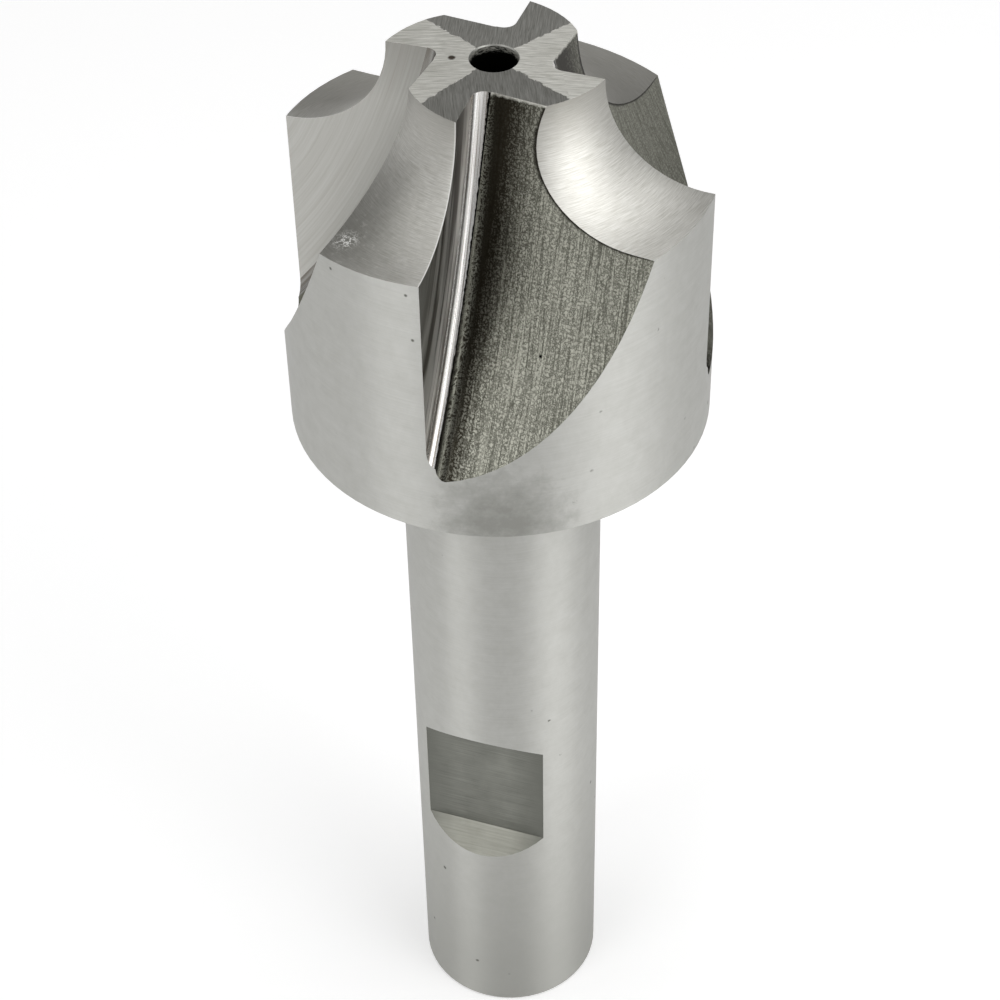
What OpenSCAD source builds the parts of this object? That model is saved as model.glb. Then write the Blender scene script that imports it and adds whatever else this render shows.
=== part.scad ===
// Four-tooth corner rounding end mill, turned, milled and ground from one bar of high speed steel.
// The origin is the centre of the shank's end face and +Z runs up the axis to the nose.
// Seen from the nose the tool turns clockwise, so each tooth's relieved back lies clockwise of its edge.

/* [Shank] */
// Diameter of the straight shank
shank_d = 12.7; // [10:0.1:15]
// Length of the shank from its end face to the shoulder
shank_len = 54.1; // [45:0.5:80]
// How far the shank's upper length lies inside its lower one, well within the tolerance of a ground shank
shank_ease = 0.002; // [0.001:0.001:0.01]
// Radius of the turned fillet where the shank meets the shoulder
shoulder_fillet = 0.5; // [0.2:0.1:1.2]
// Edge break round the shank end and round the shoulder
edge_break = 0.15; // [0.05:0.05:0.4]

/* [Clamping flat] */
// Length of the flat along the shank
flat_len = 8.8; // [6:0.2:12]
// Height of the middle of the flat above the shank end
flat_mid = 22.6; // [16:0.2:30]
// How deep the flat is milled into the shank
flat_depth = 1.6; // [0.8:0.1:2.4]
// Slope of the ramp at each end of the flat
flat_ramp = 45; // [30:1:60]

/* [Centre hole] */
// Mouth diameter of the 60 degree centre in the shank end
centre_d = 4.2; // [3:0.1:6]
// Diameter of the pilot drilling in the centre
centre_pilot_d = 2; // [1:0.1:2.6]
// Depth of the pilot drilling from the shank end
centre_depth = 5; // [4:0.1:8]

/* [Head] */
// Diameter over the teeth
head_d = 25.95; // [24:0.05:28]
// Length of the head from the shoulder to the nose
head_len = 24.5; // [22:0.5:32]

/* [Nose] */
// Diameter of the drilled nose hole
nose_hole_d = 2.74; // [1.5:0.02:4]
// Depth of the nose hole to the shoulder of its drill point
nose_hole_depth = 10; // [5:0.5:18]
// Edge break at the mouth of the nose hole
nose_hole_break = 0.06; // [0.02:0.02:0.3]
// Outward fall of the four ground nose facets
facet_tilt = 1.3; // [0.5:0.1:3]

/* [Corner profile] */
// Radius that the teeth cut on a work edge
corner_r = 6.35; // [5:0.05:6.5]
// Distance from the axis to the cutting edge at the nose
nose_tip_r = 6.45; // [6.2:0.05:7.2]
// Depth of the centre of the corner radius below the nose
corner_drop = 0.08; // [0:0.02:0.5]

/* [Relief] */
// Angle of the land behind each cutting edge at the nose
land_angle = 39.3; // [34:0.1:42]
// How far the back of the land lies inside the edge at the nose
relief_drop = 0.95; // [0.4:0.05:1.2]
// Slope of the land down from the edge
relief_tilt = 3.9; // [2:0.1:6]

/* [Flutes] */
// Diameter of the cutter that mills the flutes
cutter_d = 100; // [70:5:140]
// Distance from the axis to the milled flute floor at the nose
flute_root_r = 3.1; // [2.4:0.05:3.4]
// Depth below the nose at which the milled floor leaves the head
flute_len = 20.5; // [17:0.1:21.5]
// Angle of the milled floor off the square to the rake face
flute_angle = 6.2; // [3:0.1:8]
// Corner radius of the milled flute
flute_corner_r = 0.6; // [0.3:0.05:1]
// Stock from the rake face to the side of the milled flute
rake_stock = 0.5; // [0.2:0.05:0.7]

/* [Ground rake faces] */
// Diameter of the wheel that grinds the rake faces
wheel_d = 100; // [70:5:140]
// Width of the wheel
wheel_w = 1.25; // [1.1:0.05:1.4]
// Corner radius of the wheel
wheel_corner_r = 0.7; // [0.5:0.05:0.9]
// Distance from the axis to the ground gullet at the nose
gullet_root_r = 3.2; // [2.6:0.05:3.6]
// Depth below the nose at which the ground gullet leaves the head
gullet_len = 19.53; // [16:0.1:20.5]

/* [Hidden] */
$fn = 96;
fine_fn = 360;
steel = [0.70, 0.70, 0.69];

shank_r = shank_d / 2;
neck_r = shank_r - shank_ease;
head_r = head_d / 2;
nose_z = shank_len + head_len;
teeth = 4;
pitch = 360 / teeth;
// The nose facets were indexed by hand, so the directions that they fall in are a little uneven.
facet_at = [-67, 15, 103, 199];
// Included angles of the drill point and of the centre
drill_point = 118;
centre_cone = 60;
// How far a cutting body stands past the surface that it breaks through
over = 2;

// The land is a revolve about an axis set off from the tool's, so it falls away behind the edge.
relief_offset = relief_drop / (2 * sin(land_angle / 2));
relief_at = 90 - land_angle / 2;
relief_x = relief_offset * cos(relief_at);
relief_y = relief_offset * sin(relief_at);
form_centre_r = norm([nose_tip_r - relief_x, relief_y]) + corner_r;
// Where the form cutter's sweep starts and how far it turns, both ends being in open flute
sweep_start = -65;
sweep_angle = 80;
// The arc of a disc cutter that can reach the head
arc_start = 120;
arc_angle = 70;

// Centre of a disc of radius r whose rim passes through root_r at the nose and leaves the head at depth len
function disc_centre(r, root_r, len) =
    let (
        step = [head_r - root_r, len],
        chord = norm(step),
        reach = sqrt(r * r - chord * chord / 4)
    )
    [root_r + step.x / 2 + reach * step.y / chord, len / 2 - reach * step.x / chord];

// Turned blank: the shank with its broken end edge, the fillet and the head.
// The shank is drawn in two lengths that meet at the flat, so that each is whole and round at its middle.
module blank() {
    rotate_extrude()
        difference() {
            polygon([
                [0, 0],
                [shank_r - edge_break, 0],
                [shank_r, edge_break],
                [shank_r, flat_mid],
                [neck_r, flat_mid],
                [neck_r, shank_len - shoulder_fillet],
                [neck_r + shoulder_fillet, shank_len - shoulder_fillet],
                [neck_r + shoulder_fillet, shank_len],
                [head_r - edge_break, shank_len],
                [head_r, shank_len + edge_break],
                [head_r, nose_z],
                [0, nose_z]
            ]);
            translate([neck_r + shoulder_fillet, shank_len - shoulder_fillet])
                circle(shoulder_fillet);
        }
}

// Clamping flat for a set screw, with a ramp at each end, on the side of the tooth that points to -Y
module flat_cut() {
    rise = flat_depth + over;
    run = rise / tan(flat_ramp);
    half = flat_len / 2;
    translate([-shank_d, 0, flat_mid])
        rotate([90, 0, 90])
            linear_extrude(2 * shank_d)
                polygon([
                    [flat_depth - shank_r, -half],
                    [flat_depth - shank_r, half],
                    [-shank_r - over, half + run],
                    [-shank_r - over, -half - run]
                ]);
}

// Centre in the shank end, in which the tool was turned and ground
module centre_cut() {
    cone_h = (centre_d - centre_pilot_d) / 2 / tan(centre_cone / 2);
    tip_h = centre_pilot_d / 2 / tan(drill_point / 2);
    rotate_extrude()
        polygon([
            [0, -over],
            [centre_d / 2, -over],
            [centre_d / 2, 0],
            [centre_pilot_d / 2, cone_h],
            [centre_pilot_d / 2, centre_depth],
            [0, centre_depth + tip_h]
        ]);
}

// Nose hole with its drill point and the broken edge at its mouth
module nose_hole_cut() {
    hole_r = nose_hole_d / 2;
    tip_h = hole_r / tan(drill_point / 2);
    mouth = nose_z - hole_r * tan(facet_tilt);
    rotate_extrude()
        polygon([
            [0, nose_z + over],
            [hole_r + nose_hole_break + over, mouth + over],
            [hole_r, mouth - nose_hole_break],
            [hole_r, nose_z - nose_hole_depth],
            [0, nose_z - nose_hole_depth - tip_h]
        ]);
}

// Everything above one nose facet, which falls away from the axis in the direction at
module facet_cut(at) {
    translate([0, 0, nose_z])
        rotate([0, facet_tilt, at])
            translate([-head_d, -head_d, 0])
                cube([2 * head_d, 2 * head_d, head_d]);
}

// Working arc of a disc cutter whose near side is the plane y = 0: radius r, width w, corner radius c, rim taper a.
// The flat side, the tapered rim and the corner circle meet at exact tangents.
module disc(r, w, c, a) {
    hub = r - c * (tan(a) + 1 / cos(a));
    rim_w = (w - c) / cos(a);
    rotate([-90, 0, 0])
        rotate([0, 0, arc_start])
            rotate_extrude(angle = arc_angle, $fn = fine_fn)
                translate([hub, c]) {
                    circle(c);
                    polygon([
                        [-hub / 2, -c],
                        [0, -c],
                        [0, 0],
                        [-rim_w * sin(a), rim_w * cos(a)],
                        [-hub / 2, rim_w * cos(a)]
                    ]);
                    rotate(a)
                        translate([-c / 2, 0])
                            square([1.5 * c, rim_w]);
                }
}

// Flute milled in front of a rake face that lies on the plane y = 0, its floor being the next tooth's back
module flute_cut() {
    at = disc_centre(cutter_d / 2, flute_root_r, flute_len);
    translate([at.x, rake_stock, nose_z - at.y])
        disc(cutter_d / 2, head_r + over, flute_corner_r, flute_angle);
}

// Ground rake face and the gullet at its foot, which stops short of the milled floor
module rake_cut() {
    at = disc_centre(wheel_d / 2, gullet_root_r, gullet_len);
    translate([at.x, 0, nose_z - at.y])
        disc(wheel_d / 2, wheel_w, wheel_corner_r, 0);
}

// Form-relieved corner profile of the tooth behind the rake face on y = 0: a concave quarter circle
module corner_cut() {
    translate([0, 0, nose_z - corner_drop])
        rotate([relief_tilt, 0, 0])
            translate([relief_x, relief_y, 0])
                rotate([0, 0, sweep_start])
                    rotate_extrude(angle = sweep_angle, $fn = fine_fn)
                        translate([form_centre_r, 0]) {
                            circle(corner_r);
                            translate([-corner_r, 0])
                                square([2 * corner_r, corner_r]);
                            translate([0, -corner_r])
                                square(corner_r);
                        }
}

module end_mill() {
    color(steel)
        difference() {
            blank();
            flat_cut();
            centre_cut();
            nose_hole_cut();
            for (at = facet_at)
                facet_cut(at);
            for (i = [0 : teeth - 1])
                rotate([0, 0, i * pitch]) {
                    flute_cut();
                    rake_cut();
                    corner_cut();
                }
        }
}

end_mill();
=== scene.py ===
from math import atan2, cos, hypot, pi, radians, sin, sqrt, tan

import bmesh
import bpy
import numpy as np
from mathutils import Matrix, Vector


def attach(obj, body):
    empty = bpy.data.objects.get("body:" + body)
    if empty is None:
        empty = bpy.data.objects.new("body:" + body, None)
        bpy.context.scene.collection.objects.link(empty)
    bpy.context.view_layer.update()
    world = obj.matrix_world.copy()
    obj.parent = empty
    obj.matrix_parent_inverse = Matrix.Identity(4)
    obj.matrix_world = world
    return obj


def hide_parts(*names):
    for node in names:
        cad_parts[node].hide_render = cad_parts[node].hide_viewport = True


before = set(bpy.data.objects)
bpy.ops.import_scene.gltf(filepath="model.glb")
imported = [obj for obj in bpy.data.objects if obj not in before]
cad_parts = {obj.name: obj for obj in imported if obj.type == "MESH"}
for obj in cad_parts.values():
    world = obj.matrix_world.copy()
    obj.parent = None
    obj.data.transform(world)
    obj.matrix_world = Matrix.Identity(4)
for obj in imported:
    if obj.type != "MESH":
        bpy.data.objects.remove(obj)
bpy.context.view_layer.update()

# The bar. The tool is one piece of high speed steel, turned, milled, hardened and ground.
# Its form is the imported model's own: each section below finds the faces that one machining
# operation left, and gives them its finish, their exact normals and the run of its marks.
tool = bpy.data.objects.new("high_speed_steel_tool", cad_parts["end_mill"].data.copy())
bpy.context.scene.collection.objects.link(tool)
bar = tool.data
bar.materials.clear()
same_place = 0.5e-6
joined = bmesh.new()
joined.from_mesh(bar)
bmesh.ops.remove_doubles(joined, verts=joined.verts, dist=same_place)
bmesh.ops.triangulate(joined, faces=joined.faces)
joined.to_mesh(bar)
joined.free()

mm_per_metre = 1000
place = np.empty(3 * len(bar.vertices))
bar.vertices.foreach_get("co", place)
order = np.empty(len(bar.loops), int)
bar.loops.foreach_get("vertex_index", order)
corner = mm_per_metre * place.reshape(-1, 3)[order].reshape(-1, 3, 3)
flat_normal = np.empty(3 * len(bar.polygons))
bar.polygons.foreach_get("normal", flat_normal)
flat_normal = flat_normal.reshape(-1, 3)
exact_normal = np.repeat(flat_normal[:, None], 3, 1)
upward = np.array([0, 0, 1.0])
lay = np.zeros_like(corner)
marks = np.tile(np.array([1.0, 0, 0]), corner.shape[:2] + (1,))
slot_of = np.full(len(corner), -1)


def finish(material, off, normal, across, along, run, among=True):
    """Gives a material to the faces whose corners all lie on one machined surface.

    off is each corner's distance from it in mm and normal its exact normal there. across and
    along are mm over and along the machining marks, and run is the marks' direction.
    """
    farthest_off, least_facing = 0.004, 0.8
    normal = np.broadcast_to(normal, corner.shape)
    facing = np.einsum("fci,fi->fc", normal, flat_normal).mean(1)
    on_surface = (np.abs(off).max(1) < farthest_off) & (facing > least_facing)
    chosen = on_surface & (slot_of < 0) & among
    if material.name not in bar.materials:
        bar.materials.append(material)
    slot_of[chosen] = bar.materials.find(material.name)
    exact_normal[chosen] = normal[chosen]
    lay[chosen, :, 0] = np.broadcast_to(across, off.shape)[chosen]
    lay[chosen, :, 1] = np.broadcast_to(along, off.shape)[chosen]
    marks[chosen] = np.broadcast_to(run, corner.shape)[chosen]


# The shank. It is turned and then ground on a cylindrical grinder to 12.7 mm, and stays bare.
# The wheel leaves fine rings round the axis, so a highlight is sharp round the shank and
# drawn out along it, in soft upright bands.
shank_radius, shank_ease = 6.35, 0.002
shank_top = 54.1


def unit(vectors):
    return vectors / np.maximum(np.linalg.norm(vectors, axis=-1, keepdims=True), 1e-9)


def add(tree, kind, inputs=None, **settings):
    """Adds a node with its settings, and fills its inputs with values or with other nodes."""
    made = tree.nodes.new("ShaderNode" + kind)
    for name, value in settings.items():
        setattr(made, name, value)
    for name, value in (inputs or {}).items():
        if isinstance(value, bpy.types.Node):
            value = value.outputs[0]
        if isinstance(value, bpy.types.NodeSocket):
            tree.links.new(value, made.inputs[name])
        else:
            made.inputs[name].default_value = value
    return made


def linear(code):
    """The linear colour of an sRGB hex code such as B4B4AE."""
    parts = [int(code[i:i + 2], 16) / 255 for i in (0, 2, 4)]
    return (*[c / 12.92 if c < 0.04045 else ((c + 0.055) / 1.055) ** 2.4 for c in parts], 1)


def steel(name):
    """A new bare metal, its node tree, and the place over and along its marks."""
    material = bpy.data.materials.new(name)
    material.use_nodes = True
    tree = material.node_tree
    tree.nodes.clear()
    return material, tree, add(tree, "Attribute", attribute_name="lay").outputs["Vector"]


def drawn_out(tree, over, across, along, detail, roughness=0.5, third=0):
    """Noise that is drawn out along the marks: across and along are its size in mm.

    third is how much of the attribute's third value shifts the noise.
    """
    spot = add(tree, "VectorMath", {0: over, 1: (1 / across, 1 / along, third)},
               operation="MULTIPLY")
    return add(tree, "TexNoise", {
        "Vector": spot, "Scale": 1, "Detail": detail, "Roughness": roughness})


satin, tree, over = steel("cylindrically_ground_steel")
# The rings are a few microns apart on the real shank and are drawn 0.09 mm apart, to show.
rings = drawn_out(tree, over, across=0.09, along=5, detail=3, roughness=0.6, third=1)
on_tool = add(tree, "TexCoord").outputs["Object"]
clouds = add(tree, "TexNoise", {"Vector": on_tool, "Scale": 900, "Detail": 4, "Roughness": 0.7})
shade = add(tree, "Math", {0: rings, 1: clouds}, operation="ADD")
fade = add(tree, "MapRange", {"Value": shade, "From Min": 0.68, "From Max": 1.32})
tint = add(tree, "Mix", {0: fade, 6: linear("BABAB5"), 7: linear("C7C7C3")}, data_type="RGBA")
# Painted shade darkens the shank towards its foot, where it shows the shaded floor round it.
up_tool = add(tree, "SeparateXYZ", {0: on_tool}).outputs["Z"]
painted_foot_shade = add(tree, "MapRange", {
    "Value": up_tool, "From Min": 0.004, "From Max": 0.024, "To Min": 0.8, "To Max": 0})
tint = add(tree, "Mix", {0: painted_foot_shade, 6: tint.outputs[2], 7: linear("A9A9A4")}, data_type="RGBA")
# A dull mottled patch lies on the head under the front flute, where coolant dried.
patch_place = (0.0043, -0.01225, 0.0555)
patch_far = add(tree, "VectorMath", {0: on_tool, 1: patch_place}, operation="DISTANCE")
patch_edge = add(tree, "Math", {0: clouds, 1: 0.006, 2: patch_far.outputs["Value"]},
                 operation="MULTIPLY_ADD")
patch = add(tree, "MapRange", {
    "Value": patch_edge, "From Min": 0.0035, "From Max": 0.0075, "To Min": 0.7, "To Max": 0})
tint = add(tree, "Mix", {0: patch, 6: tint.outputs[2], 7: linear("93938D")}, data_type="RGBA")
# A few small pits, a fifth of a millimetre across, and three that stand alone on the head.
spread = add(tree, "TexVoronoi", {"Vector": on_tool, "Scale": 420})
pit = add(tree, "MapRange", {
    "Value": spread, "From Min": 0.04, "From Max": 0.08, "To Min": 1.0, "To Max": 0})
rare = add(tree, "MapRange", {"Value": clouds, "From Min": 0.5, "From Max": 0.56})
pit = add(tree, "Math", {0: pit, 1: rare}, operation="MULTIPLY")
for lone_place in ((-0.00564, -0.01168, 0.07117), (-0.00078, -0.01295, 0.07138),
                   (-0.0005, -0.01297, 0.06835)):
    lone_far = add(tree, "VectorMath", {0: on_tool, 1: lone_place}, operation="DISTANCE")
    lone = add(tree, "MapRange", {
        "Value": lone_far.outputs["Value"], "From Min": 5e-5, "From Max": 1.3e-4,
        "To Min": 1.0, "To Max": 0})
    pit = add(tree, "Math", {0: pit, 1: lone}, operation="MAXIMUM")
tint = add(tree, "Mix", {0: pit, 6: tint.outputs[2], 7: linear("6A6A64")}, data_type="RGBA")
gloss = add(tree, "MapRange", {
    "Value": rings, "From Min": 0.3, "From Max": 0.7, "To Min": 0.45, "To Max": 0.51})
# Its edges are softened by a hair, as a touch of the wheel leaves them.
worn = add(tree, "Bevel", {"Radius": 5e-5}, samples=4)
relief = add(tree, "Bump", {
    "Height": rings, "Distance": 0.4e-6, "Strength": 1.0, "Normal": worn})
direction = add(tree, "Attribute", attribute_name="marks").outputs["Vector"]
shader = add(tree, "BsdfPrincipled", {
    "Base Color": tint.outputs[2], "Metallic": 1.0, "Roughness": gloss,
    "Anisotropic": 0.9, "Anisotropic Rotation": 0.25, "Tangent": direction, "Normal": relief})
add(tree, "OutputMaterial", {0: shader})

radius = np.hypot(corner[..., 0], corner[..., 1])
height = corner[..., 2]
outward = unit(corner * [1, 1, 0])
around = np.stack([-outward[..., 1], outward[..., 0], 0 * radius], -1)
# The turn round the axis has no jump inside a face, so the rings close up.
turn = np.arctan2(corner[..., 1], corner[..., 0])
middle_turn = np.arctan2(corner[..., 1].mean(1), corner[..., 0].mean(1))[:, None]
turn = middle_turn + (turn - middle_turn + pi) % (2 * pi) - pi
way_round = turn * radius
for length_radius in (shank_radius, shank_radius - shank_ease):
    finish(satin, radius - length_radius, outward, height, way_round, around,
           (height < shank_top).all(1))
# The hair-fine step where the shank's two lengths meet is ground with them.
lengths_meet = 22.6
finish(satin, height - lengths_meet, upward, radius, way_round, around)

# The shank end, with the centre hole in which the tool was turned and ground, and the broken
# edge round it. All are turned, so fine rings run round the axis on them too, darker and
# coarser than the ground ones.
centre_mouth, centre_pilot, centre_depth, edge_break = 2.1, 1.0, 5.0, 0.15
centre_slope, drill_slope = radians(30), radians(59)
end_height = 10
turned, tree, over = steel("turned_steel")
rings = drawn_out(tree, over, across=0.12, along=8, detail=2, third=1)
tint = add(tree, "Mix", {0: rings, 6: linear("8C8C86"), 7: linear("ADADA8")}, data_type="RGBA")
relief = add(tree, "Bump", {"Height": rings, "Distance": 3e-6, "Strength": 1.0})
direction = add(tree, "Attribute", attribute_name="marks").outputs["Vector"]
shader = add(tree, "BsdfPrincipled", {
    "Base Color": tint.outputs[2], "Metallic": 1.0, "Roughness": 0.4,
    "Anisotropic": 0.6, "Anisotropic Rotation": 0.25, "Tangent": direction, "Normal": relief})
add(tree, "OutputMaterial", {0: shader})

down = -upward
low = (height < end_height).all(1)
finish(turned, height, down, radius, way_round, around, low)
edge_off = (radius - shank_radius + edge_break - height) / sqrt(2)
edge_normal = unit(outward + down)
finish(turned, edge_off, edge_normal, height, way_round, around, low)
cone_off = (radius - centre_mouth + height * tan(centre_slope)) * cos(centre_slope)
cone_normal = unit(-outward * cos(centre_slope) + down * sin(centre_slope))
finish(turned, cone_off, cone_normal, height, way_round, around, low)
finish(turned, radius - centre_pilot, -outward, height, way_round, around, low)
tip_off = (height - centre_depth) * sin(drill_slope) + (radius - centre_pilot) * cos(drill_slope)
tip_normal = unit(down * sin(drill_slope) - outward * cos(drill_slope))
finish(turned, tip_off, tip_normal, radius, way_round, around, low)

# The shoulder under the head and the fillet that joins it to the shank, both turned in one
# pass with the edge break round the shoulder.
fillet = 0.5
head_radius = 12.975
finish(turned, height - shank_top, down, radius, way_round, around)
fillet_across = radius - (shank_radius - shank_ease + fillet)
fillet_up = height - (shank_top - fillet)
fillet_off = np.hypot(fillet_across, fillet_up) - fillet
fillet_normal = unit(-outward * fillet_across[..., None] - upward * fillet_up[..., None])
hair = 0.01
in_fillet = ((fillet_across < hair) & (fillet_up > -hair)).all(1)
finish(turned, fillet_off, fillet_normal, height, way_round, around, in_fillet)
shoulder_edge_off = (radius - head_radius + edge_break - height + shank_top) / sqrt(2)
finish(turned, shoulder_edge_off, edge_normal, height, way_round, around,
       (height < shank_top + edge_break + hair).all(1))

# The clamping flat. An end mill cuts it across the shank before hardening, and its cutter
# leaves a ramp at each end. It keeps a darker, duller skin than the ground shank round it.
flat_low, flat_high, flat_off = 18.2, 27.0, 4.75
milled_skins = {}
# The ramps have the flat's milled skin in lighter colours: painted light that lifts them where
# they face the shaded floor.
for name, dark, light in (("milled_flat_steel", "6B6C66", "84857E"),
                          ("milled_ramp_steel", "8D8D84", "A6A69D")):
    milled_skins[name], tree, over = steel(name)
    lines = drawn_out(tree, over, across=0.1, along=4, detail=3, third=1)
    on_tool = add(tree, "TexCoord").outputs["Object"]
    clouds = add(tree, "TexNoise", {
        "Vector": on_tool, "Scale": 400, "Detail": 4, "Roughness": 0.6})
    shade = add(tree, "Math", {0: lines, 1: clouds}, operation="ADD")
    fade = add(tree, "MapRange", {"Value": shade, "From Min": 0.7, "From Max": 1.3})
    tint = add(tree, "Mix", {0: fade, 6: linear(dark), 7: linear(light)}, data_type="RGBA")
    # It is darker towards both of its sides.
    from_middle = add(tree, "SeparateXYZ", {0: over}).outputs["Y"]
    from_middle = add(tree, "Math", {0: from_middle}, operation="ABSOLUTE")
    darker_sides = add(tree, "MapRange", {
        "Value": from_middle, "From Min": 1.8, "From Max": 4.2, "To Max": 0.7})
    tint = add(tree, "Mix", {
        0: darker_sides, 6: tint.outputs[2], 7: linear("61625C")}, data_type="RGBA")
    relief = add(tree, "Bump", {"Height": lines, "Distance": 2e-6, "Strength": 1.0})
    shader = add(tree, "BsdfPrincipled", {
        "Base Color": tint.outputs[2], "Metallic": 1.0, "Roughness": 0.45, "Normal": relief})
    add(tree, "OutputMaterial", {0: shader})
milled_flat, milled_ramp = milled_skins.values()

forward = np.array([0, -1.0, 0])
sideways = np.array([1.0, 0, 0])
above_flat = 40
finish(milled_flat, -corner[..., 1] - flat_off, forward, height, corner[..., 0], sideways)
for edge, way in ((flat_low, -1), (flat_high, 1)):
    ramp_normal = unit(forward - way * upward)
    ramp_off = (-corner[..., 1] - flat_off - way * (height - edge)) / sqrt(2)
    finish(milled_ramp, ramp_off, ramp_normal, height, corner[..., 0], sideways,
           (height < above_flat).all(1))

# The outside of the head, ground with the shank to 25.95 mm over the teeth. It has the
# shank's satin rings, so the two look like one surface at two sizes.
finish(satin, radius - head_radius, outward, height, way_round, around)

# The corner profiles. A relieving machine cuts each tooth's concave quarter circle behind its
# edge, about an axis off the tool's own, and grinding leaves fine scratches along the land,
# which draw each highlight out down the profile.
nose_top = 78.6
corner_radius, tip_radius, corner_drop = 6.35, 6.45, 0.08
land_angle, relief_drop, relief_tilt = 39.3, 0.95, radians(3.9)
form_ground, tree, over = steel("form_ground_steel")
scratches = drawn_out(tree, over, across=0.055, along=1.3, detail=4, roughness=0.7)
fade = add(tree, "MapRange", {"Value": scratches, "From Min": 0.3, "From Max": 0.65})
tint = add(tree, "Mix", {0: fade, 6: linear("BAB8B0"), 7: linear("E1E0DB")}, data_type="RGBA")
# Coolant has dulled the foot of the front left tooth's profile, with a few bright specks in it.
on_tool = add(tree, "TexCoord").outputs["Object"]
stain_place = (-0.0057, -0.0092, 0.0715)
stain_far = add(tree, "VectorMath", {0: on_tool, 1: stain_place}, operation="DISTANCE")
specks = add(tree, "TexNoise", {"Vector": on_tool, "Scale": 2600, "Detail": 3, "Roughness": 0.6})
stain_edge = add(tree, "Math", {0: specks, 1: 0.003, 2: stain_far.outputs["Value"]},
                 operation="MULTIPLY_ADD")
stain = add(tree, "MapRange", {
    "Value": stain_edge, "From Min": 0.002, "From Max": 0.0095, "To Min": 0.66, "To Max": 0})
tint = add(tree, "Mix", {0: stain, 6: tint.outputs[2], 7: linear("7C7B74")}, data_type="RGBA")
bright = add(tree, "MapRange", {
    "Value": specks, "From Min": 0.62, "From Max": 0.68, "To Max": 0.6})
bright = add(tree, "Math", {0: bright, 1: stain}, operation="MULTIPLY")
tint = add(tree, "Mix", {0: bright, 6: tint.outputs[2], 7: linear("D8D7D2")}, data_type="RGBA")
# Painted shade: the two lands at the back are darker, and so is each land's last stretch below the
# nose, where the same finish catches less light.
along_tool = add(tree, "SeparateXYZ", {0: on_tool})
near_nose = add(tree, "MapRange", {
    "Value": along_tool.outputs["Z"], "From Min": 0.0752, "From Max": 0.0785, "To Max": 0.75})
at_back = add(tree, "MapRange", {
    "Value": along_tool.outputs["Y"], "From Min": -0.0005, "From Max": 0.0025, "To Max": 0.6})
darkening = add(tree, "Math", {0: near_nose, 1: at_back}, operation="MAXIMUM")
tint = add(tree, "Mix", {0: darkening, 6: tint.outputs[2], 7: linear("8F8D87")}, data_type="RGBA")
# The front tooth's cutting edge is a painted highlight: a thin white line, made nearly diffuse,
# stands in for the glint along it.
behind_edge = add(tree, "SeparateXYZ", {0: over}).outputs["Z"]
painted_edge_glint = add(tree, "MapRange", {
    "Value": behind_edge, "From Min": 0.03, "From Max": 0.1, "To Min": 0.75, "To Max": 0})
on_front = add(tree, "MapRange", {
    "Value": along_tool.outputs["X"], "From Min": 0.003, "From Max": 0.001})
painted_edge_glint = add(tree, "Math", {0: painted_edge_glint, 1: on_front}, operation="MULTIPLY")
# A crust of dried coolant, under a millimetre across, has wormed over the stain.
crust_place = (-0.00543, -0.00986, 0.07182)
crust_far = add(tree, "VectorMath", {0: on_tool, 1: crust_place}, operation="DISTANCE")
crust_at = add(tree, "MapRange", {
    "Value": crust_far.outputs["Value"], "From Min": 3e-4, "From Max": 1e-3,
    "To Min": 0.9, "To Max": 0})
worms = add(tree, "Math", {0: specks, 1: 0.5}, operation="SUBTRACT")
worms = add(tree, "Math", {0: worms}, operation="ABSOLUTE")
worms = add(tree, "MapRange", {
    "Value": worms, "From Min": 0.01, "From Max": 0.04, "To Min": 1.0, "To Max": 0})
crust = add(tree, "Math", {0: worms, 1: crust_at}, operation="MULTIPLY")
white = add(tree, "Math", {0: painted_edge_glint, 1: crust}, operation="MAXIMUM")
tint = add(tree, "Mix", {0: white, 6: tint.outputs[2], 7: linear("F0F0EC")}, data_type="RGBA")
bare = add(tree, "MapRange", {"Value": white, "To Min": 1.0, "To Max": 0.3})
relief = add(tree, "Bump", {"Height": scratches, "Distance": 1.3e-6, "Strength": 1.0})
direction = add(tree, "Attribute", attribute_name="marks").outputs["Vector"]
shader = add(tree, "BsdfPrincipled", {
    "Base Color": tint.outputs[2], "Metallic": bare, "Roughness": 0.44,
    "Anisotropic": 0.85, "Anisotropic Rotation": 0.25, "Tangent": direction, "Normal": relief})
add(tree, "OutputMaterial", {0: shader})

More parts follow.
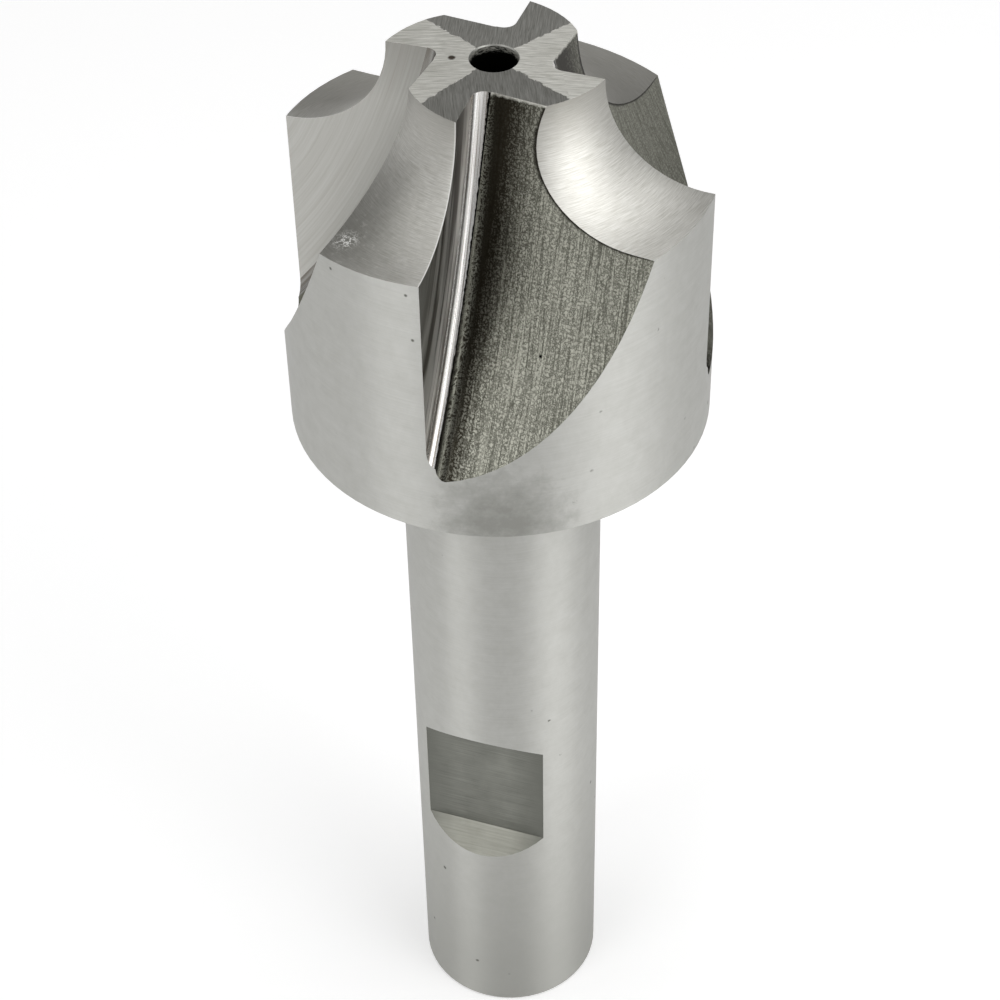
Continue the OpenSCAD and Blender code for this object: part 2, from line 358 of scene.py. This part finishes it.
half_land = radians(land_angle / 2)
set_off = relief_drop / (2 * sin(half_land))
axis_at = np.array([set_off * sin(half_land), set_off * cos(half_land), 0])
form_radius = hypot(tip_radius - axis_at[0], axis_at[1]) + corner_radius
tilt = np.array(Matrix.Rotation(relief_tilt, 3, "X"))
above_shoulder, land_reach = 57, 14
high = (height > above_shoulder).all(1)
teeth = 4
quarters = [np.array(Matrix.Rotation(k * 2 * pi / teeth, 3, "Z")) for k in range(teeth)]
for quarter in quarters:
    there = (corner @ quarter - [0, 0, nose_top - corner_drop]) @ tilt - axis_at
    back = tilt.T @ quarter.T
    swept = np.hypot(there[..., 0], there[..., 1])
    from_axis = unit(there * [1, 1, 0])
    along_land = np.arctan2(there[..., 1], there[..., 0]) * swept
    run = np.stack([-from_axis[..., 1], from_axis[..., 0], 0 * swept], -1)
    near = high & (there[..., 0] > 0).all(1) & (np.abs(along_land) < land_reach).all(1)
    # How far a place lies behind the plane of the cutting edge.
    lay[near, :, 2] = np.abs(corner @ quarter)[near][..., 1]
    into, rise = form_radius - swept, there[..., 2]
    arc_normal = unit(from_axis * into[..., None] - upward * rise[..., None])
    arc_place = np.arctan2(-rise, into) * corner_radius
    finish(form_ground, np.hypot(into, rise) - corner_radius, arc_normal @ back, arc_place,
           along_land, run @ back, near & (rise < hair).all(1) & (into > -hair).all(1))
    finish(form_ground, swept - form_radius + corner_radius, from_axis @ back, -rise,
           along_land, run @ back, near & (rise > -hair).all(1))
    finish(form_ground, rise + corner_radius, upward @ back, swept,
           along_land, run @ back, near & (into < hair).all(1))

# The flutes. A disc cutter mills each one before hardening, in one pass along the tool, and
# its floor is the next tooth's back. It stays rough and dark, with tool lines up the flute.
cutter_radius, floor_root, floor_end = 50.0, 3.1, 20.5
floor_angle, floor_corner, stock = radians(6.2), 0.6, 0.5
# Chips have rubbed three of the floors smoother than the front one, which keeps its grain.
flute_skins = []
for name, dark, light, depth in (("milled_flute_steel", "4A4A42", "9E9E93", 9e-6),
                                 ("rubbed_flute_steel", "59594F", "84847A", 2e-6)):
    milled, tree, over = steel(name)
    flute_skins.append(milled)
    # The grain is the torn surface between the cutter's marks, a fifth of a millimetre across.
    grain = drawn_out(tree, over, across=0.2, along=0.25, detail=2, roughness=0.6)
    torn = add(tree, "Math", {0: grain, 1: 0.5}, operation="SUBTRACT")
    torn = add(tree, "Math", {0: torn}, operation="ABSOLUTE")
    torn = add(tree, "MapRange", {"Value": torn, "From Max": 0.1, "To Max": 0.6})
    lines = drawn_out(tree, over, across=0.2, along=9, detail=4, roughness=0.75)
    shade = add(tree, "Math", {0: lines, 1: 0.9, 2: torn}, operation="MULTIPLY_ADD")
    fade = add(tree, "MapRange", {"Value": shade, "From Min": 0.35, "From Max": 1.1})
    tint = add(tree, "Mix", {0: fade, 6: linear(dark), 7: linear(light)}, data_type="RGBA")
    # Single scores from the cutter's worn teeth run far up the flute, dark ones and bright ones.
    scores = drawn_out(tree, over, across=0.9, along=30, detail=3, roughness=0.6)
    for level, shown, code in ((0.44, 0.7, dark), (0.47, 0.5, light),
                               (0.52, 0.5, dark), (0.56, 0.6, dark)):
        off_score = add(tree, "Math", {0: scores, 1: level}, operation="SUBTRACT")
        off_score = add(tree, "Math", {0: off_score}, operation="ABSOLUTE")
        score = add(tree, "MapRange", {
            "Value": off_score, "From Min": 0.004, "From Max": 0.013,
            "To Min": shown, "To Max": 0})
        tint = add(tree, "Mix", {0: score, 6: tint.outputs[2], 7: linear(code)}, data_type="RGBA")
    # Dark brown scale from hardening stays beside the flute's corner, wider towards the nose.
    place_in = add(tree, "SeparateXYZ", {0: over})
    ragged = add(tree, "Math", {0: shade, 1: 1.1, 2: place_in.outputs["X"]},
                 operation="MULTIPLY_ADD")
    reach = add(tree, "MapRange", {
        "Value": place_in.outputs["Y"], "From Min": -28, "From Max": -12,
        "To Min": 2.4, "To Max": 5.0})
    full = add(tree, "Math", {0: reach, 1: 0.4}, operation="MULTIPLY")
    clear = add(tree, "MapRange", {
        "Value": ragged, "From Min": full, "From Max": reach, "To Min": 0.05})
    in_corner = add(tree, "MapRange", {
        "Value": ragged, "From Min": 0.45, "From Max": 0.8, "To Min": 0.9, "To Max": 0})
    clear = add(tree, "Math", {0: clear, 1: in_corner}, operation="MAXIMUM")
    tint = add(tree, "Mix", {0: clear, 6: linear("1E1A12"), 7: tint.outputs[2]}, data_type="RGBA")
    # One pinhole shows in the front flute's floor.
    on_tool = add(tree, "TexCoord").outputs["Object"]
    pinhole_place = (0.00547, -0.00873, 0.06538)
    pinhole_far = add(tree, "VectorMath", {0: on_tool, 1: pinhole_place}, operation="DISTANCE")
    pinhole = add(tree, "MapRange", {
        "Value": pinhole_far.outputs["Value"], "From Min": 6e-5, "From Max": 1.4e-4,
        "To Min": 1.0, "To Max": 0})
    tint = add(tree, "Mix", {
        0: pinhole, 6: tint.outputs[2], 7: linear("0E0D0B")}, data_type="RGBA")
    # A dark line also runs along the tooth's heel, and a bright burr at the nose.
    heel = add(tree, "MapRange", {
        "Value": place_in.outputs["Z"], "From Min": 0.05, "From Max": 0.13,
        "To Min": 0.9, "To Max": 0})
    tint = add(tree, "Mix", {0: heel, 6: tint.outputs[2], 7: linear("1C1914")}, data_type="RGBA")
    at_nose = add(tree, "Math", {0: grain, 1: 0.3, 2: place_in.outputs["Y"]},
                  operation="MULTIPLY_ADD")
    edge_line = add(tree, "MapRange", {
        "Value": at_nose, "From Min": -11.1, "From Max": -10.9, "To Max": 0.8})
    tint = add(tree, "Mix", {0: edge_line, 6: tint.outputs[2], 7: linear("D8D7CE")}, data_type="RGBA")
    relief = add(tree, "Bump", {"Height": shade, "Distance": depth, "Strength": 1.0})
    shader = add(tree, "BsdfPrincipled", {
        "Base Color": tint.outputs[2], "Metallic": 1.0, "Roughness": 0.34, "Normal": relief})
    add(tree, "OutputMaterial", {0: shader})


def disc_centre(disc_radius, root, end):
    """Centre of a disc whose rim is at root at the nose and leaves the head at depth end."""
    step = head_radius - root
    chord = hypot(step, end)
    reach = sqrt(disc_radius ** 2 - chord ** 2 / 4)
    return root + step / 2 + reach * end / chord, nose_top - end / 2 + reach * step / chord


cutter_x, cutter_z = disc_centre(cutter_radius, floor_root, floor_end)
hub = cutter_radius - floor_corner * (tan(floor_angle) + 1 / cos(floor_angle))
slant = np.array([0, sin(floor_angle), 0])
side_way = np.array([0, 1.0, 0])
front_flute = 3
for k, quarter in enumerate(quarters):
    there = corner @ quarter - [cutter_x, stock + floor_corner, cutter_z]
    rim = np.hypot(there[..., 0], there[..., 2])
    from_axis = unit(there * [1, 0, 1])
    run = np.stack([from_axis[..., 2], 0 * rim, -from_axis[..., 0]], -1)
    side = there[..., 1]
    along_flute = np.arctan2(there[..., 2], -there[..., 0]) * rim
    near = high & (there[..., 0] > -cutter_radius - 1).all(1)
    milled = flute_skins[0] if k == front_flute else flute_skins[1]
    # How far inside the next tooth's corner profile a place on the floor lies.
    behind = quarters[(k + 1) % teeth]
    heel_from = (corner @ behind - [0, 0, nose_top - corner_drop]) @ tilt - axis_at
    heel_into = form_radius - np.hypot(heel_from[..., 0], heel_from[..., 1])
    heel_off = np.where(heel_from[..., 2] > 0, heel_into,
                        np.hypot(heel_into, heel_from[..., 2])) - corner_radius
    still_free = near & (slot_of < 0)
    lay[still_free, :, 2] = np.maximum(heel_off, 0)[still_free]
    floor_off = (rim - hub) * cos(floor_angle) + side * sin(floor_angle) - floor_corner
    floor_normal = -from_axis * cos(floor_angle) - slant
    finish(milled, floor_off, floor_normal @ quarter.T, side, along_flute,
           run @ quarter.T, near & (side > -0.05).all(1))
    corner_off = np.hypot(rim - hub, side) - floor_corner
    corner_normal = unit(-from_axis * (rim - hub)[..., None] - side_way * side[..., None])
    finish(milled, corner_off, corner_normal @ quarter.T, side, along_flute,
           run @ quarter.T, near & (side < 0.1).all(1))
    finish(milled, side + floor_corner, side_way @ quarter.T, rim, along_flute,
           run @ quarter.T, near)

# The rake faces. After hardening a narrow wheel grinds each tooth's cutting face down the
# flute. Long streaks run along the wheel's path, and the face shines softly between them.
wheel_radius, gullet_root, gullet_end = 50.0, 3.2, 19.53
wheel_width, wheel_corner = 1.25, 0.7
wheel_ground, tree, over = steel("wheel_ground_steel")
streaks = drawn_out(tree, over, across=0.12, along=9, detail=5, roughness=0.6, third=1)
fade = add(tree, "MapRange", {"Value": streaks, "From Min": 0.2, "From Max": 0.8})
tint = add(tree, "Mix", {0: fade, 6: linear("A2A09A"), 7: linear("B7B7B3")}, data_type="RGBA")
# Near the gullet the wheel's rim has left brown and bright streaks on the front tooth.
towards_rim = add(tree, "SeparateXYZ", {0: over}).outputs["X"]
near_gullet = add(tree, "MapRange", {
    "Value": towards_rim, "From Min": 44, "From Max": 46, "To Max": 0.9})
on_tool = add(tree, "SeparateXYZ", {0: add(tree, "TexCoord").outputs["Object"]})
on_front = add(tree, "MapRange", {
    "Value": on_tool.outputs["Y"], "From Min": -0.002, "From Max": -0.003})
near_gullet = add(tree, "Math", {0: near_gullet, 1: on_front}, operation="MULTIPLY")
rim_streaks = drawn_out(tree, over, across=1.3, along=22, detail=4, roughness=0.7)
fade = add(tree, "MapRange", {"Value": rim_streaks, "From Min": 0.44, "From Max": 0.55})
streaked = add(tree, "Mix", {0: fade, 6: linear("584F45"), 7: linear("EAE8E3")}, data_type="RGBA")
tint = add(tree, "Mix", {
    0: near_gullet, 6: tint.outputs[2], 7: streaked.outputs[2]}, data_type="RGBA")
# Towards the nose, where the teeth cut most, the faces are duller.
darkening = add(tree, "MapRange", {
    "Value": on_tool.outputs["Z"], "From Min": 0.0745, "From Max": 0.0785, "To Max": 0.5})
tint = add(tree, "Mix", {0: darkening, 6: tint.outputs[2], 7: linear("77756F")}, data_type="RGBA")
relief = add(tree, "Bump", {"Height": streaks, "Distance": 0.7e-6, "Strength": 1.0})
direction = add(tree, "Attribute", attribute_name="marks").outputs["Vector"]
shader = add(tree, "BsdfPrincipled", {
    "Base Color": tint.outputs[2], "Metallic": 1.0, "Roughness": 0.3,
    "Anisotropic": 0.6, "Anisotropic Rotation": 0.25, "Tangent": direction, "Normal": relief})
add(tree, "OutputMaterial", {0: shader})

# The gullets. The wheel's corner burnishes one at the foot of each rake face. A black ragged line
# on its far side is painted shade, where the ground gullet steps down to the milled flute, so thin
# bright and dark lines run side by side there.
burnished, tree, over = steel("burnished_gullet_steel")
streaks = drawn_out(tree, over, across=0.06, along=9, detail=3, roughness=0.6)
fade = add(tree, "MapRange", {"Value": streaks, "From Min": 0.35, "From Max": 0.55})
tint = add(tree, "Mix", {0: fade, 6: linear("948C82"), 7: linear("EDECEA")}, data_type="RGBA")
# The black ragged line along the ridge is painted shade.
ridge_wobble = drawn_out(tree, over, across=1, along=0.4, detail=3)
from_ridge = add(tree, "SeparateXYZ", {0: over}).outputs["Z"]
ragged = add(tree, "Math", {0: ridge_wobble, 1: -0.14, 2: from_ridge}, operation="MULTIPLY_ADD")
edge_line = add(tree, "MapRange", {
    "Value": ragged, "From Min": -0.02, "From Max": 0, "To Min": 1.0, "To Max": 0})
tint = add(tree, "Mix", {0: edge_line, 6: tint.outputs[2], 7: linear("141310")}, data_type="RGBA")
# The left tooth's gullet is dull.
on_tool = add(tree, "SeparateXYZ", {0: add(tree, "TexCoord").outputs["Object"]})
darkening = add(tree, "MapRange", {
    "Value": on_tool.outputs["X"], "From Min": -0.002, "From Max": -0.003, "To Max": 0.8})
tint = add(tree, "Mix", {0: darkening, 6: tint.outputs[2], 7: linear("5F5D57")}, data_type="RGBA")
relief = add(tree, "Bump", {"Height": streaks, "Distance": 1.5e-6, "Strength": 1.0})
direction = add(tree, "Attribute", attribute_name="marks").outputs["Vector"]
shader = add(tree, "BsdfPrincipled", {
    "Base Color": tint.outputs[2], "Metallic": 1.0, "Roughness": 0.25,
    "Anisotropic": 0.3, "Anisotropic Rotation": 0.25, "Tangent": direction, "Normal": relief})
add(tree, "OutputMaterial", {0: shader})

wheel_x, wheel_z = disc_centre(wheel_radius, gullet_root, gullet_end)
for quarter in quarters:
    here = corner @ quarter
    there = here - [wheel_x, wheel_corner, wheel_z]
    rim = np.hypot(there[..., 0], there[..., 2])
    from_axis = unit(there * [1, 0, 1])
    run = np.stack([from_axis[..., 2], 0 * rim, -from_axis[..., 0]], -1)
    side = there[..., 1]
    along_wheel = np.arctan2(there[..., 2], -there[..., 0]) * rim
    near = high & (here[..., 0] > 0).all(1)
    # How far from the milled flute a place in the gullet lies.
    beside = here - [cutter_x, stock + floor_corner, cutter_z]
    beside_rim = np.hypot(beside[..., 0], beside[..., 2]) - hub
    flute_side = beside[..., 1]
    flute_off = np.where(flute_side < 0, np.hypot(beside_rim, flute_side),
                         beside_rim * cos(floor_angle) + flute_side * sin(floor_angle))
    still_free = near & (slot_of < 0)
    lay[still_free, :, 2] = np.abs(flute_off - floor_corner)[still_free]
    finish(wheel_ground, side + wheel_corner, side_way @ quarter.T, rim, along_wheel,
           run @ quarter.T, near)
    finish(burnished, rim - wheel_radius, -from_axis @ quarter.T, side, along_wheel,
           run @ quarter.T, near & (side > -hair).all(1))
    past_hub = rim - wheel_radius + wheel_corner
    corner_normal = unit(-from_axis * past_hub[..., None] - side_way * side[..., None])
    finish(burnished, np.hypot(past_hub, side) - wheel_corner, corner_normal @ quarter.T, side,
           along_wheel, run @ quarter.T, near)
    finish(wheel_ground, side - wheel_width + wheel_corner, -side_way @ quarter.T, rim,
           along_wheel, run @ quarter.T, near)

# The nose. Four facets are ground by hand on its end, each falling outward 1.3 degrees, with
# fine straight scratches that run out along its fall.
facet_fall = radians(1.3)
facet_ways = (-67, 15, 103, 199)
face_ground, tree, over = steel("hand_ground_nose_steel")
scratches = drawn_out(tree, over, across=0.05, along=2.2, detail=4, roughness=0.7, third=1)
fade = add(tree, "MapRange", {"Value": scratches, "From Min": 0.3, "From Max": 0.66})
tint = add(tree, "Mix", {0: fade, 6: linear("A6A59C"), 7: linear("ECEBE5")}, data_type="RGBA")
# Hand grinding runs the facets into each other, so their boundaries are ragged: each place
# takes the slope and the marks of the facet that falls most there, after a small stray.
stray_reach = 0.0003
on_tool = add(tree, "TexCoord").outputs["Object"]
stray = add(tree, "TexNoise", {
    "Vector": on_tool, "Scale": 2600, "Detail": 4, "Roughness": 0.7}).outputs["Color"]
stray_place = add(tree, "VectorMath", {
    0: stray, 1: (2 * stray_reach, 2 * stray_reach, 0), 2: on_tool}, operation="MULTIPLY_ADD")
stray_place = add(tree, "VectorMath", {0: stray_place, 1: (stray_reach, stray_reach, 0)},
                  operation="SUBTRACT")
most = None
# Each facet's tint is painted shade: the right one keeps its colour and the others are darker, the
# front one most, for how differently their scratches catch the light.
for way, code in zip(facet_ways, ("DADADA", "FFFFFF", "E8E8E8", "F6F6F6")):
    out_along = (cos(radians(way)), sin(radians(way)), 0)
    facet_normal = (out_along[0] * sin(facet_fall), out_along[1] * sin(facet_fall),
                    cos(facet_fall))
    falls = add(tree, "VectorMath", {0: stray_place, 1: out_along}, operation="DOT_PRODUCT")
    falls = falls.outputs["Value"]
    if most is None:
        most, slope, direction, painted_facet_shade = falls, facet_normal, out_along, linear(code)
        continue
    wins = add(tree, "Math", {0: falls, 1: most}, operation="GREATER_THAN")
    slope = add(tree, "Mix", {0: wins, 4: slope, 5: facet_normal}, data_type="VECTOR").outputs[1]
    direction = add(tree, "Mix", {
        0: wins, 4: direction, 5: out_along}, data_type="VECTOR").outputs[1]
    painted_facet_shade = add(tree, "Mix", {0: wins, 6: painted_facet_shade, 7: linear(code)}, data_type="RGBA").outputs[2]
    most = add(tree, "Math", {0: falls, 1: most}, operation="MAXIMUM")
tint = add(tree, "Mix", {
    0: 1.0, 6: tint.outputs[2], 7: painted_facet_shade}, data_type="RGBA", blend_type="MULTIPLY")
# What the softened edges add to the flat normal is added to the chosen slope.
worn = add(tree, "Bevel", {"Radius": 6e-5}, samples=4)
flat = add(tree, "NewGeometry").outputs["Normal"]
off_flat = add(tree, "VectorMath", {0: worn, 1: flat}, operation="SUBTRACT")
slope = add(tree, "VectorMath", {0: slope, 1: off_flat}, operation="ADD")
relief = add(tree, "Bump", {
    "Height": scratches, "Distance": 1.6e-6, "Strength": 1.0, "Normal": slope})
# One ragged brown pit lies to the left of the hole.
pit_place = (-0.00229, -0.0006, 0.07855)
pit_far = add(tree, "VectorMath", {0: on_tool, 1: pit_place}, operation="DISTANCE")
pit_edge = add(tree, "Math", {0: scratches, 1: 4e-4, 2: pit_far.outputs["Value"]},
               operation="MULTIPLY_ADD")
pit = add(tree, "MapRange", {
    "Value": pit_edge, "From Min": 3.7e-4, "From Max": 4.5e-4, "To Min": 0.95, "To Max": 0})
tint = add(tree, "Mix", {0: pit, 6: tint.outputs[2], 7: linear("3A3026")}, data_type="RGBA")
shader = add(tree, "BsdfPrincipled", {
    "Base Color": tint.outputs[2], "Metallic": 1.0, "Roughness": 0.5,
    "Anisotropic": 0.9, "Anisotropic Rotation": 0.25, "Tangent": direction, "Normal": relief})
add(tree, "OutputMaterial", {0: shader})

for way in facet_ways:
    out_along = np.array([cos(radians(way)), sin(radians(way)), 0])
    over_it = np.array([-out_along[1], out_along[0], 0])
    facet_normal = out_along * sin(facet_fall) + upward * cos(facet_fall)
    finish(face_ground, (corner - [0, 0, nose_top]) @ facet_normal, facet_normal,
           corner @ over_it, corner @ out_along, out_along)

# The nose hole, a drilled centre that the tool was ground on, with a thin broken edge. Its wall is
# painted dark inside a dull, flecked band, painted shade so that the hole looks deep.
hole_radius, hole_break, hole_depth = 1.37, 0.06, 10.0
tip_under = 70
drilled, tree, over = steel("drilled_steel")
rings = drawn_out(tree, over, across=0.12, along=0.3, detail=4, roughness=0.7, third=1)
depth = add(tree, "SeparateXYZ", {0: over}).outputs["X"]
# A centre has worn its first third of a millimetre or so to that band. The rest of the wall is
# painted near black, as the shade deep in the hole.
ragged = add(tree, "Math", {0: rings, 1: 0.8, 2: depth}, operation="MULTIPLY_ADD")
band_above_shade = add(tree, "MapRange", {"Value": ragged, "From Min": 78.5, "From Max": 78.75})
flecked = add(tree, "MapRange", {"Value": rings, "From Min": 0.42, "From Max": 0.56})
band_tint = add(tree, "Mix", {
    0: flecked, 6: linear("3D3C38"), 7: linear("9C9B93")}, data_type="RGBA")
tint = add(tree, "Mix", {
    0: band_above_shade, 6: linear("171613"), 7: band_tint.outputs[2]}, data_type="RGBA")
bare = add(tree, "MapRange", {"Value": band_above_shade, "To Min": 1.0, "To Max": 0.15})
shader = add(tree, "BsdfPrincipled", {
    "Base Color": tint.outputs[2], "Metallic": bare, "Roughness": 0.5})
add(tree, "OutputMaterial", {0: shader})
finish(drilled, radius - hole_radius, -outward, height, way_round, around, high)
tip_off = ((height - nose_top + hole_depth) * sin(drill_slope)
           - (radius - hole_radius) * cos(drill_slope))
tip_normal = unit(upward * sin(drill_slope) - outward * cos(drill_slope))
finish(drilled, tip_off, tip_normal, radius, way_round, around,
       high & (height < tip_under).all(1))
mouth_height = nose_top - hole_radius * tan(facet_fall)
mouth_off = (radius - hole_radius - height + mouth_height - hole_break) / sqrt(2)
mouth_normal = unit(upward - outward)
finish(turned, mouth_off, mouth_normal, height, way_round, around, high)

# The last slivers, where two cuts run out into each other, belong to neither and have the
# gullet's finish. Then the bar takes its materials, normals and marks.
slot_of[slot_of < 0] = bar.materials.find(burnished.name)
bar.polygons.foreach_set("material_index", slot_of)
bar.polygons.foreach_set("use_smooth", np.ones(len(slot_of), bool))
bar.attributes.new("lay", "FLOAT_VECTOR", "CORNER").data.foreach_set("vector", lay.ravel())
bar.attributes.new("marks", "FLOAT_VECTOR", "CORNER").data.foreach_set("vector", marks.ravel())
bar.normals_split_custom_set(exact_normal.reshape(-1, 3).tolist())
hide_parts("end_mill")
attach(tool, "root")

# The floor is a plain sheet of white card. Seen directly or in the steel it is lit up to
# white, and it keeps the tool's shadow.
floor_size, card_glow = 6, 0.36
card = bpy.data.materials.new("white_card")
card.use_nodes = True
tree = card.node_tree
tree.nodes.clear()
path = add(tree, "LightPath")
seen = add(tree, "Math", {0: path.outputs["Is Camera Ray"], 1: path.outputs["Is Glossy Ray"]},
           operation="MAXIMUM")
seen = add(tree, "Math", {0: seen, 1: path.outputs["Is Transmission Ray"]}, operation="MAXIMUM")
glow = add(tree, "Math", {0: seen, 1: card_glow}, operation="MULTIPLY")
lift = add(tree, "Emission", {"Color": (1, 1, 1, 1), "Strength": glow})
paper = add(tree, "BsdfDiffuse", {"Color": linear("E8E8E8")})
both = add(tree, "AddShader", {0: paper, 1: lift})
add(tree, "OutputMaterial", {0: both})
bpy.ops.mesh.primitive_plane_add(size=floor_size)
floor = bpy.context.object
floor.name = "floor"
floor.data.materials.append(card)

# Soft boxes, each given by its direction from the tool in degrees (0 is the camera's and 90 is
# to its right), its rise over the floor in degrees, its width and its brightness.
camera_place = Vector((0.03877, -0.11070, 0.15353))
camera_turn = atan2(camera_place.y, camera_place.x)
target = Vector((0, 0, 0.05))
away, tall = 0.5, 0.24
for name, side_turn, rise, wide, glow in (
    ("left low", -50, 12, 0.24, 1.2),
    ("left high", -45, 38, 0.26, 1.75),
    ("left side", -95, 38, 0.26, 0.85),
    ("left back", -125, 62, 0.24, 0.8),
    ("right front", 40, 12, 0.24, 0.75),
    ("right low", 58, 12, 0.24, 1.32),
    ("right side", 74, 12, 0.24, 0.65),
    ("right high", 45, 38, 0.26, 1.4),
    ("right back", 120, 62, 0.24, 0.7),
    ("top", 0, 89.9, 0.26, 1.9),
):
    bearing, rise = camera_turn + radians(side_turn), radians(rise)
    aim = Vector((cos(bearing) * cos(rise), sin(bearing) * cos(rise), sin(rise)))
    box = bpy.data.lights.new(name, "AREA")
    box.shape = "RECTANGLE"
    box.size, box.size_y = wide, tall
    box.energy = glow * pi * wide * tall
    lamp = bpy.data.objects.new(name, box)
    lamp.location = target + away * aim
    lamp.rotation_euler = aim.to_track_quat("Z", "Y").to_euler()
    bpy.context.scene.collection.objects.link(lamp)

# Two small boxes hang face down over the floor to the right of the tool, and light the floor
# that the steel's right side shows.
pool_away, pool_height, pool_size = 0.12, 0.20, 0.10
for name, side_turn, glow in (("right pool", 60, 1.6), ("side pool", 100, 0.95)):
    bearing = camera_turn + radians(side_turn)
    box = bpy.data.lights.new(name, "AREA")
    box.size = pool_size
    box.energy = glow * pi * pool_size * pool_size
    lamp = bpy.data.objects.new(name, box)
    lamp.location = (pool_away * cos(bearing), pool_away * sin(bearing), pool_height)
    bpy.context.scene.collection.objects.link(lamp)

# The room is an even pale grey, the same for the camera and in the steel, and fills the
# shadows softly.
room = bpy.data.worlds.new("studio")
bpy.context.scene.world = room
room.use_nodes = True
tree = room.node_tree
tree.nodes.clear()
sky = add(tree, "Background", {"Color": (1, 1, 1, 1), "Strength": 0.36})
add(tree, "OutputWorld", {0: sky})

# The camera stands over the tool and looks down 42.7 degrees, as the photograph does. Its
# place, turn and lens come from a fit to the round outlines in the photograph.
lens = 88.9
down_tilt, side_tilt, roll = 0.745705, -0.001463, -0.020326
model_turn = radians(19.3)
ahead = Vector((sin(side_tilt) * cos(down_tilt), cos(side_tilt) * cos(down_tilt), -sin(down_tilt)))
level_right = Vector((cos(side_tilt), -sin(side_tilt), 0))
upright = level_right.cross(ahead)
right = cos(roll) * level_right + sin(roll) * upright
up = cos(roll) * upright - sin(roll) * level_right
camera = bpy.data.objects.new("camera", bpy.data.cameras.new("camera"))
camera.data.lens = lens
camera.data.sensor_width = 36
camera.data.clip_start = 0.01
bpy.context.scene.collection.objects.link(camera)
axes = Matrix((right, up, -ahead)).transposed().to_4x4()
camera.matrix_world = Matrix.Translation(camera_place) @ Matrix.Rotation(model_turn, 4, "Z") @ axes
bpy.context.scene.camera = camera
bpy.context.scene.view_settings.view_transform = "Standard"
